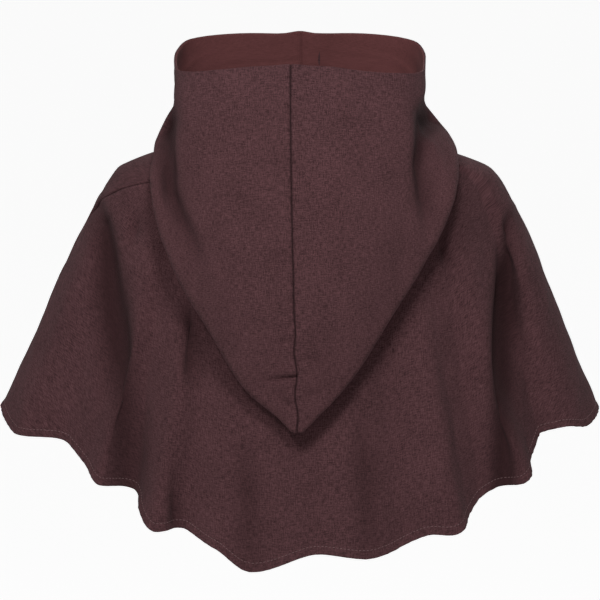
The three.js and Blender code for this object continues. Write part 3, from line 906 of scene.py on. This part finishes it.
def thread():
    """Sewing thread, finely mottled with a darker shade."""
    material = bpy.data.materials.new("thread")
    material.use_nodes = True
    tree = material.node_tree
    shader = tree.nodes["Principled BSDF"]
    place = add_node(tree, "ShaderNodeTexCoord").outputs["Object"]
    grains = add_node(tree, "ShaderNodeTexNoise", None, Vector=place, Scale=2600.0, Detail=2.0)
    colour = blend(tree, grains.outputs["Fac"], THREAD_DARK, THREAD_LIGHT)
    bumped = add_node(
        tree, "ShaderNodeBump", None, Strength=0.3, Distance=0.0002, Height=grains.outputs["Fac"]
    ).outputs[0]
    tree.links.new(colour, shader.inputs["Base Color"])
    tree.links.new(bumped, shader.inputs["Normal"])
    shader.inputs["Roughness"].default_value = 0.7
    shader.inputs["Specular IOR Level"].default_value = 0.25
    return material


cloth_look = woven(
    "wool_cloth", CLOTH_DARK, CLOTH_LIGHT,
    grain=560.0, slub=0.65, roughness=0.92, sheen=0.02, pitch=CLOTH_PITCH, bump=0.5,
)
lining_look = woven(
    "lining_cloth", LINING_DARK, LINING_LIGHT,
    grain=900.0, slub=0.6, roughness=0.75, sheen=0.03, pitch=LINING_PITCH, bump=0.25,
)
thread_look = thread()


# Pieces of the garment

def finish_piece(piece, node, look):
    piece.data.materials.append(look)
    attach(piece, "root")
    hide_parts(node)


cape_back, back_points, back_uv = cape_panel(
    "cape_back_cloth", SEAM_LEFT, SEAM_RIGHT, count=300, rows=120, shift=0.0, creases=CAPE_CREASES
)
cape_front, front_points, front_uv = cape_panel(
    "cape_front_cloth", SEAM_RIGHT, SEAM_LEFT, count=200, rows=90, shift=1.7, creases=NO_CREASES
)
finish_piece(cape_back, "cape_back", cloth_look)
finish_piece(cape_front, "cape_front", cloth_look)
threads_back = hem_stitches("hem_thread_back", back_points, back_uv, thread_look)
threads_front = hem_stitches("hem_thread_front", front_points, front_uv, thread_look)
for threads in (threads_back, threads_front):
    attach(threads, "root")

hood_left, lining_left = hood_half("hood_left_cloth", "lining_left_cloth", -1)
hood_right, lining_right = hood_half("hood_right_cloth", "lining_right_cloth", 1)
finish_piece(hood_left, "hood_left", cloth_look)
finish_piece(hood_right, "hood_right", cloth_look)
finish_piece(lining_left, "lining_left", lining_look)
finish_piece(lining_right, "lining_right", lining_look)


# Floor, light and camera

FLOOR_DROP = 1.25
FRAME_WIDTH = 0.66
CAMERA_DISTANCE = 10.0
SENSOR = 36.0
AIM_UP = -0.143
LIGHT_AIM = (0, -0.05, -0.12)


def floor():
    """A white ground far below, which is also the backdrop."""
    bpy.ops.mesh.primitive_plane_add(size=90, location=(0, 0, -FLOOR_DROP))
    plane = bpy.context.active_object
    plane.name = "floor"
    material = bpy.data.materials.new("floor")
    material.use_nodes = True
    shader = material.node_tree.nodes["Principled BSDF"]
    shader.inputs["Base Color"].default_value = (0.93, 0.93, 0.93, 1)
    shader.inputs["Roughness"].default_value = 1.0
    shader.inputs["Specular IOR Level"].default_value = 0.0
    shader.inputs["Emission Color"].default_value = (1, 1, 1, 1)
    shader.inputs["Emission Strength"].default_value = 0.46
    plane.data.materials.append(material)


def soft_light(name, place, aim, size, energy):
    data = bpy.data.lights.new(name, "AREA")
    data.size = size
    data.energy = energy
    lamp = bpy.data.objects.new(name, data)
    lamp.location = place
    lamp.rotation_euler = (Vector(aim) - Vector(place)).to_track_quat("-Z", "Y").to_euler()
    bpy.context.scene.collection.objects.link(lamp)


def sunlight(name, elevation, from_left, softness, strength):
    """A far lamp that lights the garment and the floor alike, from behind the camera."""
    data = bpy.data.lights.new(name, "SUN")
    data.angle = math.radians(softness)
    data.energy = strength
    lamp = bpy.data.objects.new(name, data)
    lamp.rotation_euler = (math.radians(90 - elevation), 0, math.radians(-from_left))
    bpy.context.scene.collection.objects.link(lamp)


def camera():
    e = math.radians(VIEW_ELEVATION)
    target = Vector((0, math.sin(e), math.cos(e))) * AIM_UP
    data = bpy.data.cameras.new("camera")
    data.sensor_width = SENSOR
    data.lens = SENSOR * CAMERA_DISTANCE / FRAME_WIDTH
    data.clip_end = 200
    eye = bpy.data.objects.new("camera", data)
    eye.location = target + Vector((0, -math.cos(e), math.sin(e))) * CAMERA_DISTANCE
    eye.rotation_euler = (math.radians(90 - VIEW_ELEVATION), 0, 0)
    bpy.context.scene.collection.objects.link(eye)
    bpy.context.scene.camera = eye


floor()
sunlight("sun", elevation=46, from_left=30, softness=12, strength=1.5)
soft_light("key", (0.10, -1.15, 1.35), LIGHT_AIM, size=0.35, energy=24)
soft_light("front", (0.8, 2.2, 1.0), LIGHT_AIM, size=1.5, energy=14)
world = bpy.data.worlds.new("studio")
world.use_nodes = True
world.node_tree.nodes["Background"].inputs["Color"].default_value = (1, 1, 1, 1)
world.node_tree.nodes["Background"].inputs["Strength"].default_value = 0.19
bpy.context.scene.world = world
bpy.context.scene.view_settings.view_transform = "Standard"
camera()
